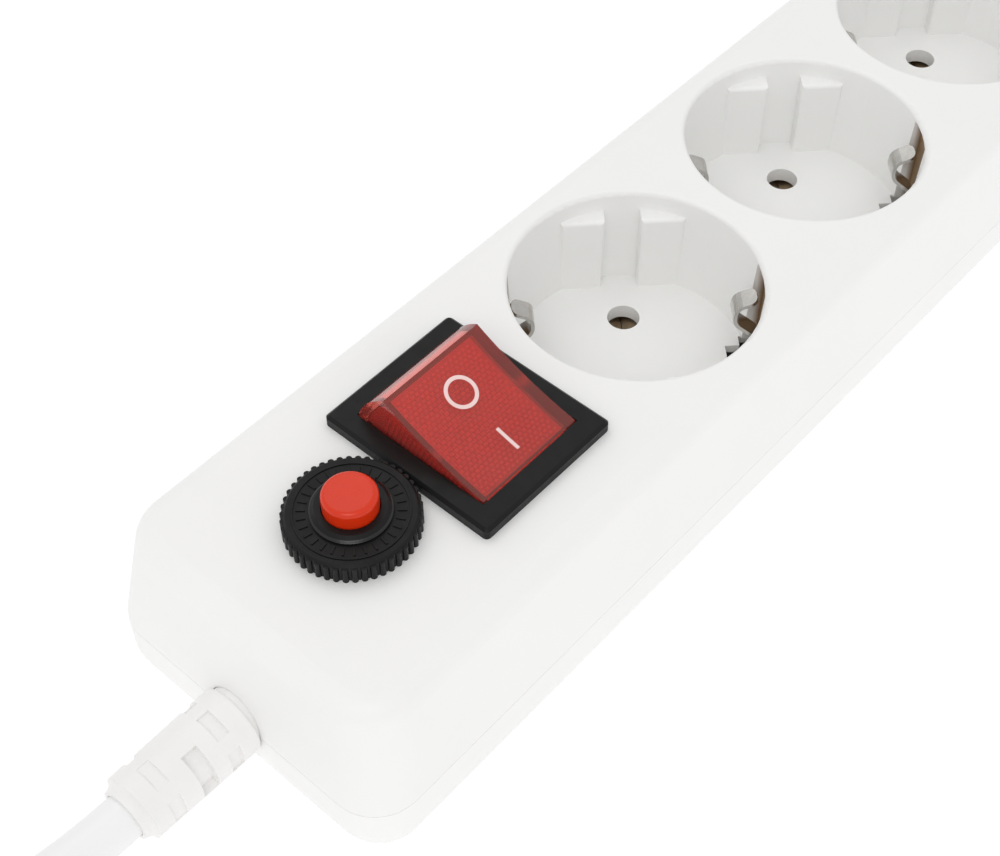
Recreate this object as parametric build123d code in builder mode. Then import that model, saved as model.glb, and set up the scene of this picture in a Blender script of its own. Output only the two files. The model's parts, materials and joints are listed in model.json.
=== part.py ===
from build123d import *
import math
import os

os.makedirs("parts", exist_ok=True)

# ---------------------------------------------------------------- driving dimensions (mm)
body_l, body_w, body_h = 296.2, 55.3, 38.0      # length and width at the parting line, height
seam_z = 18.5                                   # parting line between the two shells
corner_r, corner_top_r = 7.5, 8.0               # vertical corners at the parting line and at the top
draft = math.tan(math.radians(8.9))             # side draft of the upper shell
wall, roof_t, base_t = 2.2, 2.4, 2.0
top_fillet = 3.6
# rounded flank of the lower shell: height and how far it is drawn in there
flank = [(0.0, 8.2), (1.0, 6.9), (2.5, 5.3), (4.5, 3.4), (6.8, 1.82), (10.0, 0.48), (13.6, 0.0)]
flank_in = [(2.0, 9.2), (2.6, 8.4), (4.1, 6.8), (5.97, 5.03), (7.9, 3.72), (10.6, 2.6), (13.6, 2.2)]

sockets = [-61.0, -16.0, 29.0, 74.0, 119.0]     # socket centres, 45 mm apart
recess_r, recess_low_r, recess_d = 20.0, 19.2, 18.3  # round earthed recess, a little narrower at its floor
cup_r, cup_floor_t = 21.8, 1.6
floor_z = body_h - recess_d
pin_off, pin_hole_r = 9.5, 2.7                 # two pins 19 mm apart, on the 45 degree line
rib_face, rib_in, rib_out, rib_top = 16.6, 3.0, 10.2, 34.6  # guide ribs: flat face, inner and outer side, top
slot_w, slot_back = 7.2, 21.2                   # slot for each earth spring

sw_x, nut_x, nut_y = -99.7, -122.9, 0.1
bezel_x, bezel_y, bezel_t = 26.4, 31.4, 2.0
rock_w, rock_open_w = 19.5, 20.0
rock_r, rock_h, rock_tilt = 12.55, 7.67, 20.0   # end radius, height of the edge chord, tilt at rest
pivot_z = body_h - 1.7
lever_z, lever_tilt = 23.4, 8.0

cord_r, cord_y, cord_z = 3.4, 0.0, seam_z
gland_end, clamp_x, sheath_end = -168.1, -138.6, -136.0
screw_x, screw_y = [-136.0, -38.5, 51.5, 136.0], 16.0
bar_y, bar_z0, bar_z1 = 9.52, 8.5, 14.5
pin_y = pin_off / math.sqrt(2)


def ring_of(r, x=0.0, y=0.0):
    return [(x + r * math.cos(a), y + r * math.sin(a)) for a in (0, math.pi / 2, math.pi, 1.5 * math.pi)]


def turned(x, u, v):
    """A point given along the pin line (u) and across it (v), for the socket at x."""
    c = math.sqrt(0.5)
    return (x + (u - v) * c, (u + v) * c)


# ---------------------------------------------------------------- upper shell
lean = (body_h - seam_z) * draft
lean_in = (body_h - roof_t - seam_z) * draft
with BuildPart() as guide_rib:
    with BuildSketch(Plane.XY.offset(floor_z)):
        with BuildLine():
            Polyline((rib_face, rib_in), (20.8, rib_in), (18.3, rib_out), (rib_face, rib_out), close=True)
        make_face()
    extrude(amount=rib_top - floor_z)
    front = guide_rib.faces().sort_by(Axis.X)[0]
    fillet([e for e in front.edges() if e.center().Z > floor_z + 0.1], 0.6)

with BuildPart() as top_cover:
    with BuildSketch(Plane.XY.offset(seam_z)):
        RectangleRounded(body_l, body_w, corner_r)
    with BuildSketch(Plane.XY.offset(body_h)):
        RectangleRounded(body_l - 2 * lean, body_w - 2 * lean, corner_top_r)
    loft(ruled=True)
    fillet(top_cover.faces().sort_by(Axis.Z)[-1].edges(), top_fillet)
    with BuildPart(mode=Mode.SUBTRACT):
        with BuildSketch(Plane.XY.offset(seam_z)):
            RectangleRounded(body_l - 2 * wall, body_w - 2 * wall, corner_r - wall)
        with BuildSketch(Plane.XY.offset(body_h - roof_t)):
            RectangleRounded(body_l - 2 * wall - 2 * lean_in, body_w - 2 * wall - 2 * lean_in, corner_top_r - wall)
        loft(ruled=True)
    # socket cups
    with BuildSketch(Plane.XY.offset(floor_z - cup_floor_t)):
        for x in sockets:
            with Locations((x, 0)):
                Circle(cup_r)
    extrude(amount=recess_d + cup_floor_t - 1.0)
    # short collars round the pin holes
    with BuildSketch(Plane.XY.offset(17.0)):
        for x in sockets:
            with Locations(turned(x, pin_off, 0), turned(x, -pin_off, 0)):
                Circle(4.0)
    extrude(amount=2.0)
    # bosses for the case screws
    with BuildSketch(Plane.XY.offset(8.0)):
        for x in screw_x:
            with Locations((x, screw_y), (x, -screw_y)):
                Circle(3.0)
    extrude(amount=body_h - roof_t + 0.6 - 8.0)
    slope = (recess_r - recess_low_r) / recess_d
    for x in sockets:
        with Locations((x, 0, floor_z)):
            Cone(recess_low_r, recess_r + slope, recess_d + 1, align=(Align.CENTER, Align.CENTER, Align.MIN), mode=Mode.SUBTRACT)
    rims = top_cover.edges().filter_by(GeomType.CIRCLE).group_by(Axis.Z)[-1]
    fillet([e for e in rims if abs(e.radius - recess_r) < 0.05], 0.8)
    # two pairs of guide ribs in each recess, on the pin line
    for x in sockets:
        for turn in (45, 225):
            add(guide_rib.part.moved(Location((x, 0, 0), (0, 0, turn))))
            add(guide_rib.part.mirror(Plane.XZ).moved(Location((x, 0, 0), (0, 0, turn))))
    # slot behind and under each earth spring
    for x in sockets:
        with BuildSketch(Plane.XY.offset(16.0)):
            for s in (1, -1):
                for half, near in ((2.1, 15.9), (4.1, 18.3)):
                    with BuildLine():
                        Polyline(
                            turned(x, half, s * near), turned(x, half, s * slot_back),
                            turned(x, -half, s * slot_back), turned(x, -half, s * near), close=True,
                        )
                    make_face()
        extrude(amount=floor_z - 16.0, mode=Mode.SUBTRACT)
        with BuildSketch(Plane.XY.offset(floor_z - 0.5)):
            for s in (1, -1):
                with BuildLine():
                    Polyline(
                        turned(x, slot_w / 2, s * 18.6), turned(x, slot_w / 2, s * slot_back),
                        turned(x, -slot_w / 2, s * slot_back), turned(x, -slot_w / 2, s * 18.6), close=True,
                    )
                make_face()
        extrude(amount=37.0 - floor_z + 0.5, mode=Mode.SUBTRACT)
    # pin holes
    with BuildSketch(Plane.XY.offset(16.5)):
        for x in sockets:
            with Locations(turned(x, pin_off, 0), turned(x, -pin_off, 0)):
                Circle(pin_hole_r)
    extrude(amount=floor_z - 16.5, mode=Mode.SUBTRACT)
    # openings for the switch and the overload breaker
    with BuildSketch(Plane.XY.offset(body_h - roof_t - 1)):
        with Locations((sw_x, 0)):
            Rectangle(22.4, 28.4)
        with Locations((nut_x, nut_y)):
            Circle(5.7)
    extrude(amount=roof_t + 2, mode=Mode.SUBTRACT)
    # pilot holes in the bosses
    with BuildSketch(Plane.XY.offset(7.0)):
        for x in screw_x:
            with Locations((x, screw_y), (x, -screw_y)):
                Circle(1.5)
    extrude(amount=14.0, mode=Mode.SUBTRACT)
    # half of the round opening that grips the cord gland
    with BuildSketch(Plane.YZ.offset(-body_l / 2 - 1)):
        with Locations((cord_y, cord_z)):
            Circle(5.0)
    extrude(amount=wall + 3, mode=Mode.SUBTRACT)
    with BuildSketch(Plane.YZ.offset(-144.65)):
        with Locations((cord_y, cord_z)):
            Circle(7.3)
    extrude(amount=3.7, mode=Mode.SUBTRACT)
    # fine shadow line along the parting line
    with BuildSketch(Plane.XY.offset(seam_z)):
        RectangleRounded(body_l + 2, body_w + 2, corner_r + 1)
        RectangleRounded(body_l - 0.4, body_w - 0.4, corner_r - 0.2, mode=Mode.SUBTRACT)
    extrude(amount=0.06, mode=Mode.SUBTRACT)
top_cover.part.label = "top_cover"

# ---------------------------------------------------------------- lower shell
with BuildPart() as base_cover:
    with BuildPart():
        for z, off in flank:
            with BuildSketch(Plane.XY.offset(z)):
                RectangleRounded(body_l - 2 * off, body_w - 2 * off, max(1.5, corner_r - 0.75 * off))
        loft()
    with BuildSketch(Plane.XY.offset(flank[-1][0])):
        RectangleRounded(body_l, body_w, corner_r)
    extrude(amount=seam_z - flank[-1][0])
    with BuildPart(mode=Mode.SUBTRACT):
        for z, off in flank_in:
            with BuildSketch(Plane.XY.offset(z)):
                RectangleRounded(body_l - 2 * off, body_w - 2 * off, max(0.9, corner_r - wall - 0.75 * (off - wall)))
        loft(ruled=True)
    with BuildSketch(Plane.XY.offset(flank_in[-1][0])):
        RectangleRounded(body_l - 2 * wall, body_w - 2 * wall, corner_r - wall)
    extrude(amount=seam_z, mode=Mode.SUBTRACT)
    # locating tongue inside the parting line
    with BuildSketch(Plane.XY.offset(14.4)):
        RectangleRounded(body_l - 2 * wall, body_w - 2 * wall, corner_r - wall)
        RectangleRounded(body_l - 2 * wall - 2.6, body_w - 2 * wall - 2.6, corner_r - wall - 1.3, mode=Mode.SUBTRACT)
    extrude(amount=seam_z - 14.4)
    with BuildSketch(Plane.XY.offset(seam_z)):
        RectangleRounded(body_l - 2 * wall - 0.9, body_w - 2 * wall - 0.9, corner_r - wall - 0.45)
        RectangleRounded(body_l - 2 * wall - 2.6, body_w - 2 * wall - 2.6, corner_r - wall - 1.3, mode=Mode.SUBTRACT)
    extrude(amount=1.2)
    # screw posts
    with BuildSketch(Plane.XY.offset(base_t - 0.5)):
        for x in screw_x:
            with Locations((x, screw_y), (x, -screw_y)):
                Circle(4.2)
    extrude(amount=8.0 - base_t + 0.5)
    # cradle ribs that carry the conductor strips
    with BuildSketch(Plane.XY.offset(base_t - 0.5)):
        for x in (-78.5, -41.5, 6.5, 48.5, 96.5, 133.0):
            with Locations((x, 10.0), (x, -10.0)):
                Rectangle(1.8, 5.0)
    extrude(amount=bar_z0 - base_t + 0.5)
    # saddle under the cord and two posts for its clamp
    with BuildSketch(Plane.XY.offset(base_t - 0.5)):
        with Locations((clamp_x, cord_y)):
            Rectangle(4.8, 9.0)
    extrude(amount=cord_z - 2.9 - base_t + 0.5)
    with BuildSketch(Plane.XY.offset(base_t - 0.5)):
        with Locations((clamp_x, cord_y + 7.6), (clamp_x, cord_y - 7.6)):
            Circle(2.3)
    extrude(amount=cord_z - 0.2 - base_t + 0.5)
    # hoods over the two hanging keyholes
    with BuildSketch(Plane.XY.offset(base_t - 0.5)):
        with Locations((-38.5, 0), (96.5, 0)):
            RectangleRounded(20.0, 12.4, 2.0)
    extrude(amount=5.1)
    with BuildSketch(Plane.XY.offset(1.6)):
        with Locations((-38.5, 0), (96.5, 0)):
            SlotCenterToCenter(8.0, 8.6)
    extrude(amount=3.6, mode=Mode.SUBTRACT)
    with BuildSketch(Plane.XY.offset(-1.0)):
        with Locations((-42.5, 0), (92.5, 0)):
            Circle(4.3)
        with Locations((-38.5, 0), (96.5, 0)):
            SlotCenterToCenter(8.0, 4.4)
    extrude(amount=3.0, mode=Mode.SUBTRACT)
    # screw counterbores and clearance holes
    with BuildSketch(Plane.XY.offset(-1.0)):
        for x in screw_x:
            with Locations((x, screw_y), (x, -screw_y)):
                Circle(3.1)
    extrude(amount=5.6, mode=Mode.SUBTRACT)
    with BuildSketch(Plane.XY.offset(4.0)):
        for x in screw_x:
            with Locations((x, screw_y), (x, -screw_y)):
                Circle(1.75)
    extrude(amount=5.0, mode=Mode.SUBTRACT)
    with BuildSketch(Plane.XY.offset(cord_z - 7.0)):
        with Locations((clamp_x, cord_y + 7.6), (clamp_x, cord_y - 7.6)):
            Circle(1.25)
    extrude(amount=8.0, mode=Mode.SUBTRACT)
    # pockets that keep the pin tips off the floor
    with BuildSketch(Plane.XY.offset(0.55)):
        for x in sockets:
            with Locations(turned(x, pin_off, 0), turned(x, -pin_off, 0)):
                Circle(3.2)
    extrude(amount=2.0, mode=Mode.SUBTRACT)
    with BuildSketch(Plane.YZ.offset(clamp_x - 4)):
        with Locations((cord_y, cord_z)):
            Circle(cord_r + 0.05)
    extrude(amount=8.0, mode=Mode.SUBTRACT)
    with BuildSketch(Plane.YZ.offset(-body_l / 2 - 1)):
        with Locations((cord_y, cord_z)):
            Circle(5.0)
    extrude(amount=5.5, mode=Mode.SUBTRACT)
    with BuildSketch(Plane.YZ.offset(-144.65)):
        with Locations((cord_y, cord_z)):
            Circle(7.3)
    extrude(amount=3.7, mode=Mode.SUBTRACT)
    with BuildSketch(Plane.XY.offset(seam_z - 0.06)):
        RectangleRounded(body_l + 2, body_w + 2, corner_r + 1)
        RectangleRounded(body_l - 0.4, body_w - 0.4, corner_r - 0.2, mode=Mode.SUBTRACT)
    extrude(amount=0.06, mode=Mode.SUBTRACT)
base_cover.part.label = "base_cover"

# ---------------------------------------------------------------- case screws
with BuildPart() as case_screws:
    with BuildSketch(Plane.XY.offset(2.4)):
        for x in screw_x:
            with Locations((x, screw_y), (x, -screw_y)):
                Circle(2.8)
    extrude(amount=2.2)
    with BuildSketch(Plane.XY.offset(4.6)):
        for x in screw_x:
            with Locations((x, screw_y), (x, -screw_y)):
                Circle(1.45)
    extrude(amount=14.0)
    with BuildSketch(Plane.XY.offset(2.4)):
        for x in screw_x:
            with Locations((x, screw_y), (x, -screw_y)):
                Rectangle(3.2, 0.8)
                Rectangle(0.8, 3.2)
    extrude(amount=1.2, mode=Mode.SUBTRACT)
case_screws.part.label = "case_screws"

# ---------------------------------------------------------------- conductor strips
bars = {}
for name, s in (("live_busbar", 1), ("neutral_busbar", -1)):
    with BuildPart() as bar:
        with BuildSketch(Plane.XZ.offset(-s * bar_y)):
            with Locations(((-84.0 + 135.5) / 2, (bar_z0 + bar_z1) / 2)):
                RectangleRounded(219.5, bar_z1 - bar_z0, 0.8)
            for x in sockets:
                with Locations((x + s * pin_y - 6.5, 11.5)):
                    Circle(1.25, mode=Mode.SUBTRACT)
        extrude(amount=-s * 0.8)
    bar.part.label = name
    bars[name] = bar

contacts = {}
for name, s in (("live_contacts", 1), ("neutral_contacts", -1)):
    with BuildPart() as leaf:
        with BuildSketch(Plane.XY.offset(7.2)):
            for x in sockets:
                px, py = x + s * pin_y, s * pin_y
                with BuildLine() as path:
                    FilletPolyline((px - 8.8, py + s * 2.5), (px + 4.2, py + s * 2.5), (px + 4.2, py - s * 2.5), (px - 3.6, py - s * 2.5), radius=1.0)
                trace(line_width=0.6)
        extrude(amount=8.6)
        with BuildSketch(Plane.XZ):
            for x in sockets:
                with Locations((x + s * pin_y - 6.5, 11.5)):
                    Circle(1.25)
        extrude(amount=15.0, both=True, mode=Mode.SUBTRACT)
        # the tab beside the rivet is lower than the leaves
        with BuildSketch(Plane.XY.offset(14.2)):
            for x in sockets:
                with Locations((x + s * pin_y - 6.6, s * (pin_y + 2.5))):
                    Rectangle(4.8, 1.2)
        extrude(amount=3.0, mode=Mode.SUBTRACT)
    leaf.part.label = name
    contacts[name] = leaf

with BuildPart() as contact_rivets:
    for s in (1, -1):
        y0 = s * (pin_y + 1.6)
        for x in sockets:
            with Locations(Location((x + s * pin_y - 6.5, y0, 11.5), (90 if s < 0 else -90, 0, 0))):
                Cylinder(1.9, 0.6, align=(Align.CENTER, Align.CENTER, Align.MIN))
                Cylinder(1.2, 2.6, align=(Align.CENTER, Align.CENTER, Align.MIN))
            with Locations(Location((x + s * pin_y - 6.5, y0 + s * 2.02, 11.5), (90 if s < 0 else -90, 0, 0))):
                Cylinder(1.9, 0.6, align=(Align.CENTER, Align.CENTER, Align.MIN))
contact_rivets.part.label = "contact_rivets"

# ---------------------------------------------------------------- earth strip and springs
with BuildPart() as earth_busbar:
    with BuildSketch(Plane.XY.offset(15.9)):
        with Locations(((-75.0 + 124.0) / 2, 0)):
            RectangleRounded(199.0, 4.2, 1.2)
    extrude(amount=0.8)
    with BuildSketch(Plane.XY.offset(15.0)):
        for x in sockets:
            with Locations((x, 0)):
                Circle(1.05)
    extrude(amount=3.0, mode=Mode.SUBTRACT)
earth_busbar.part.label = "earth_busbar"

# each spring pair is one strip: a strap under the recess floor and two S-shaped arms up its sides
arm = [(19.4, 33.5), (16.1, 32.1), (15.9, 28.9), (20.5, 24.7), (20.5, 17.0)]
with BuildPart() as earth_springs:
    for x in sockets:
        across = Plane(origin=(x, 0, 0), x_dir=(-1, 1, 0), z_dir=(1, 1, 0))
        with BuildSketch(across):
            with BuildLine():
                FilletPolyline(*[(-a, z) for a, z in arm], *reversed(arm), radius=[1.8, 3.0, 2.5, 0.9, 0.9, 2.5, 3.0, 1.8])
            trace(line_width=0.6)
        extrude(amount=1.7, both=True)
    with BuildSketch(Plane.XY.offset(16.7)):
        for x in sockets:
            with BuildLine():
                Polyline(turned(x, 2.7, 17.5), turned(x, 2.7, -17.5), turned(x, -2.7, -17.5), turned(x, -2.7, 17.5), close=True)
            make_face()
    extrude(amount=0.6)
    tips = [e for e in earth_springs.edges().filter_by(GeomType.LINE) if e.center().Z > 32.9 and abs(e.length - 0.6) < 0.02]
    fillet(tips, 1.3)
    with BuildSketch(Plane.XY.offset(15.0)):
        for x in sockets:
            with Locations((x, 0)):
                Circle(1.05)
    extrude(amount=3.0, mode=Mode.SUBTRACT)
earth_springs.part.label = "earth_springs"

with BuildPart() as earth_rivets:
    with BuildSketch(Plane.XY.offset(15.3)):
        for x in sockets:
            with Locations((x, 0)):
                Circle(1.7)
    extrude(amount=0.6)
    with BuildSketch(Plane.XY.offset(15.3)):
        for x in sockets:
            with Locations((x, 0)):
                Circle(1.0)
    extrude(amount=2.6)
    with BuildSketch(Plane.XY.offset(17.3)):
        for x in sockets:
            with Locations((x, 0)):
                Circle(1.7)
    extrude(amount=0.6)
earth_rivets.part.label = "earth_rivets"

# ---------------------------------------------------------------- rocker switch
with BuildPart() as switch_housing:
    with BuildSketch(Plane.XY.offset(body_h)):
        with Locations((sw_x, 0)):
            RectangleRounded(bezel_x, bezel_y, 0.8)
    extrude(amount=bezel_t)
    chamfer(switch_housing.faces().sort_by(Axis.Z)[-1].edges(), 0.5)
    with BuildSketch(Plane.XY.offset(14.0)):
        with Locations((sw_x, 0)):
            Rectangle(22.0, 28.0)
    extrude(amount=body_h - 14.0 + 0.5)
    # round-bottomed well that the rocker turns in
    with BuildSketch(Plane.YZ.offset(sw_x)):
        with Locations((0, pivot_z)):
            Circle(rock_r + 0.15)
    extrude(amount=rock_open_w / 2, both=True, mode=Mode.SUBTRACT)
    with BuildSketch(Plane.XY.offset(15.6)):
        with Locations((sw_x, 0)):
            Rectangle(rock_open_w, 24.8)
    extrude(amount=pivot_z - 15.6, mode=Mode.SUBTRACT)
    # trunnion holes
    with BuildSketch(Plane.YZ.offset(sw_x)):
        with Locations((0, pivot_z)):
            Circle(1.6)
    extrude(amount=10.85, both=True, mode=Mode.SUBTRACT)
    # stops under the levers
    with BuildSketch(Plane.XY.offset(15.0)):
        with Locations((sw_x - 5, -7.0), (sw_x + 5, -7.0)):
            Rectangle(4.0, 1.6)
    extrude(amount=7.2)
    # terminal slots
    with BuildSketch(Plane.XY.offset(13.0)):
        for px in (sw_x - 5, sw_x + 5):
            with Locations((px, 0), (px, 7.0)):
                Rectangle(6.5, 1.0)
    extrude(amount=3.0, mode=Mode.SUBTRACT)
    # snap wings under the cover
    with BuildSketch(Plane.YZ.offset(sw_x)):
        for s in (1, -1):
            with BuildLine():
                Polyline((s * 13.9, 30.0), (s * 14.9, 35.4), (s * 13.9, 35.4), close=True)
            make_face()
    extrude(amount=3.0, both=True)
switch_housing.part.label = "switch_housing"

# the rocker is drawn level and then tilted about its trunnions to the ON position
tilt_axis = Axis((sw_x, 0, pivot_z), (1, 0, 0))
a_top = math.degrees(math.atan2(rock_h, math.sqrt(rock_r**2 - rock_h**2)))
a_low = -8.0


def at(r, deg):
    return (r * math.cos(math.radians(deg)), pivot_z + r * math.sin(math.radians(deg)))


with BuildPart() as rocker_lens:
    with BuildSketch(Plane.YZ.offset(sw_x)):
        with BuildLine():
            ThreePointArc(at(rock_r, a_top), at(rock_r, (a_top + a_low) / 2), at(rock_r, a_low))
            Line(at(rock_r, a_low), at(rock_r, 180 - a_low))
            ThreePointArc(at(rock_r, 180 - a_low), at(rock_r, 180 - (a_top + a_low) / 2), at(rock_r, 180 - a_top))
            ThreePointArc(at(rock_r, 180 - a_top), (0, pivot_z + rock_h - 0.85), at(rock_r, a_top))
        make_face()
    extrude(amount=rock_w / 2, both=True)
    with BuildSketch(Plane.YZ.offset(sw_x)):
        with BuildLine():
            ThreePointArc(at(rock_r - 1.3, a_top - 5.5), at(rock_r - 1.3, (a_top + a_low) / 2), at(rock_r - 1.3, -9.0))
            Line(at(rock_r - 1.3, -9.0), at(rock_r - 1.3, 189.0))
            ThreePointArc(at(rock_r - 1.3, 189.0), at(rock_r - 1.3, 180 - (a_top + a_low) / 2), at(rock_r - 1.3, 185.5 - a_top))
            ThreePointArc(at(rock_r - 1.3, 185.5 - a_top), (0, pivot_z + rock_h - 0.85 - 1.45), at(rock_r - 1.3, a_top - 5.5))
        make_face()
    extrude(amount=rock_w / 2 - 1.3, both=True, mode=Mode.SUBTRACT)
    with BuildSketch(Plane.YZ.offset(sw_x)):
        with Locations((0, pivot_z)):
            Circle(1.6)
    extrude(amount=rock_w, both=True, mode=Mode.SUBTRACT)
    add(rocker_lens.part.rotate(tilt_axis, rock_tilt), mode=Mode.REPLACE)
rocker_lens.part.label = "rocker_lens"

plunger_r, sleeve_r, tip_d = 1.35, 2.1, 12.0
with BuildPart() as rocker_carrier:
    with BuildSketch(Plane.YZ.offset(sw_x)):
        with BuildLine():
            ThreePointArc(at(rock_r - 1.5, a_top - 8.5), at(rock_r - 1.5, 12.0), at(rock_r - 1.5, -6.0))
            Line(at(rock_r - 1.5, -6.0), at(rock_r - 1.5, 186.0))
            ThreePointArc(at(rock_r - 1.5, 186.0), at(rock_r - 1.5, 168.0), at(rock_r - 1.5, 188.5 - a_top))
            ThreePointArc(at(rock_r - 1.5, 188.5 - a_top), (0, pivot_z + rock_h - 2.75), at(rock_r - 1.5, a_top - 8.5))
        make_face()
    extrude(amount=rock_w / 2 - 1.5, both=True)
    # hollow underside with two spring sleeves
    with BuildSketch(Plane.XY.offset(pivot_z - 3)):
        with Locations((sw_x, 0)):
            Rectangle(12.6, 17.0)
    extrude(amount=3 + 2.6, mode=Mode.SUBTRACT)
    with BuildSketch(Plane.XY.offset(pivot_z - 9.4)):
        with Locations((sw_x - 5, 0), (sw_x + 5, 0)):
            Circle(sleeve_r)
    extrude(amount=9.4 + 3.2)
    with BuildSketch(Plane.XY.offset(pivot_z - 9.5)):
        with Locations((sw_x - 5, 0), (sw_x + 5, 0)):
            Circle(plunger_r + 0.08)
    extrude(amount=11.0, mode=Mode.SUBTRACT)
    with BuildSketch(Plane.YZ.offset(sw_x)):
        with Locations((0, pivot_z)):
            Circle(1.52)
    extrude(amount=10.7, both=True)
    with BuildSketch(Plane.YZ.offset(sw_x)):
        with Locations((0, pivot_z)):
            Circle(3.0)
    extrude(amount=6.3, both=True, mode=Mode.SUBTRACT)
    with BuildSketch(Plane.XY.offset(pivot_z - 9.4)):
        with Locations((sw_x - 5, 0), (sw_x + 5, 0)):
            Circle(sleeve_r)
            Circle(plunger_r + 0.08, mode=Mode.SUBTRACT)
    extrude(amount=9.4 + 3.2)
    add(rocker_carrier.part.rotate(tilt_axis, rock_tilt), mode=Mode.REPLACE)
rocker_carrier.part.label = "rocker_carrier"

with BuildPart() as switch_plungers:
    with BuildSketch(Plane.XY.offset(pivot_z - tip_d + 1.0)):
        with Locations((sw_x - 5, 0), (sw_x + 5, 0)):
            Circle(plunger_r)
    extrude(amount=6.0)
    with Locations((sw_x - 5, 0, pivot_z - tip_d + 1.2), (sw_x + 5, 0, pivot_z - tip_d + 1.2)):
        Sphere(1.2)
    add(switch_plungers.part.rotate(tilt_axis, rock_tilt), mode=Mode.REPLACE)
switch_plungers.part.label = "switch_plungers"

with BuildPart() as switch_springs:
    for px in (sw_x - 5, sw_x + 5):
        with BuildLine(Plane.XY.offset(pivot_z - tip_d + 7.2)):
            with Locations((px, 0)):
                coil = Helix(pitch=1.2, height=5.6, radius=1.0, center=(px, 0, 0))
        with BuildSketch(Plane(origin=coil @ 0, z_dir=coil % 0)):
            Circle(0.15)
        sweep(path=coil)
    add(switch_springs.part.rotate(tilt_axis, rock_tilt), mode=Mode.REPLACE)
switch_springs.part.label = "switch_springs"

lever_axis = Axis((sw_x, 0, lever_z), (1, 0, 0))
with BuildPart() as contact_levers:
    with BuildSketch(Plane.XY.offset(lever_z)):
        with Locations((sw_x - 5, 0), (sw_x + 5, 0)):
            RectangleRounded(4.0, 15.6, 1.2)
    extrude(amount=0.8)
    with Locations((sw_x - 5, 7.0, lever_z - 0.25), (sw_x + 5, 7.0, lever_z - 0.25)):
        Cylinder(1.2, 0.6, align=(Align.CENTER, Align.CENTER, Align.MIN))
    add(contact_levers.part.rotate(lever_axis, -lever_tilt), mode=Mode.REPLACE)
contact_levers.part.label = "contact_levers"

with BuildPart() as switch_terminals:
    with BuildSketch(Plane.XZ.offset(0.4)):
        for px in (sw_x - 5, sw_x + 5):
            with Locations((px, 10.0)):
                RectangleRounded(6.3, 8.0, 0.8)
            with Locations((px, 18.3)):
                Rectangle(4.0, 9.7)
    extrude(amount=-0.8)
    with BuildSketch(Plane.XZ.offset(-6.6)):
        for px in (sw_x - 5, sw_x + 5):
            with Locations((px, 10.0)):
                RectangleRounded(6.3, 8.0, 0.8)
            with Locations((px, 17.4)):
                Rectangle(4.0, 7.6)
    extrude(amount=-0.8)
    with Locations((sw_x - 5, 7.0, 20.9), (sw_x + 5, 7.0, 20.9)):
        Cylinder(1.3, 0.9, align=(Align.CENTER, Align.CENTER, Align.MIN))
switch_terminals.part.label = "switch_terminals"

with BuildPart() as switch_lamp:
    with BuildSketch(Plane.XZ.offset(3.2)):
        with Locations((sw_x, 26.2)):
            Circle(2.0)
    extrude(amount=-9.0)
    with Locations((sw_x, 5.8, 26.2)):
        Sphere(1.9)
    with BuildSketch(Plane.XY.offset(16.0)):
        with Locations((sw_x - 1.0, -2.6), (sw_x + 1.0, -2.6)):
            Circle(0.3)
    extrude(amount=10.0)
switch_lamp.part.label = "switch_lamp"

with BuildPart() as lamp_resistor:
    with BuildSketch(Plane.XZ.offset(3.4)):
        with Locations((sw_x, 18.2)):
            Circle(1.1)
    extrude(amount=6.2)
lamp_resistor.part.label = "lamp_resistor"

# ---------------------------------------------------------------- overload breaker with its reset button
with BuildPart() as breaker_body:
    with BuildSketch(Plane.XY.offset(14.0)):
        with Locations((nut_x, nut_y)):
            RectangleRounded(14.0, 24.0, 1.0)
    extrude(amount=body_h - roof_t - 14.0)
    with BuildSketch(Plane.XY.offset(body_h - roof_t - 1)):
        with Locations((nut_x, nut_y)):
            Circle(5.6)
    extrude(amount=42.3 - body_h + roof_t + 1)
    chamfer(breaker_body.faces().sort_by(Axis.Z)[-1].edges(), 0.5)
    with BuildSketch(Plane.XY.offset(34.0)):
        with Locations((nut_x, nut_y)):
            Circle(4.15)
    extrude(amount=10.0, mode=Mode.SUBTRACT)
    with BuildSketch(Plane.XY.offset(22.5)):
        with Locations((nut_x, nut_y)):
            Circle(5.0)
    extrude(amount=34.4 - 22.5, mode=Mode.SUBTRACT)
    with BuildSketch(Plane.XY.offset(21.0)):
        with Locations((nut_x, nut_y)):
            Circle(2.8)
    extrude(amount=2.0, mode=Mode.SUBTRACT)
    with BuildSketch(Plane.XY.offset(15.5)):
        with Locations((nut_x, nut_y)):
            Rectangle(10.5, 20.0)
    extrude(amount=6.0, mode=Mode.SUBTRACT)
    with BuildSketch(Plane.XY.offset(13.0)):
        with Locations((nut_x, nut_y + 8.0), (nut_x, nut_y - 8.0)):
            Rectangle(6.5, 1.0)
    extrude(amount=3.0, mode=Mode.SUBTRACT)
breaker_body.part.label = "breaker_body"

with BuildPart() as breaker_nut:
    with BuildSketch(Plane.XY.offset(body_h)):
        with Locations((nut_x, nut_y)):
            Circle(9.4)
    extrude(amount=3.1)
    chamfer(breaker_nut.faces().sort_by(Axis.Z)[-1].edges(), 0.35)
    with BuildSketch(Plane.XY.offset(body_h)):
        with Locations((nut_x, nut_y)):
            with PolarLocations(9.35, 46):
                Circle(0.47)
    extrude(amount=2.7)
    # a fine ring and plain short bars round the top
    with BuildSketch(Plane.XY.offset(body_h + 3.1)):
        with Locations((nut_x, nut_y)):
            Circle(8.25)
            Circle(8.0, mode=Mode.SUBTRACT)
            with PolarLocations(6.95, 30):
                Rectangle(1.3, 0.3)
    extrude(amount=0.15)
    with BuildSketch(Plane.XY.offset(body_h - 1)):
        with Locations((nut_x, nut_y)):
            Circle(5.66)
    extrude(amount=6.0, mode=Mode.SUBTRACT)
breaker_nut.part.label = "breaker_nut"

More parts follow.
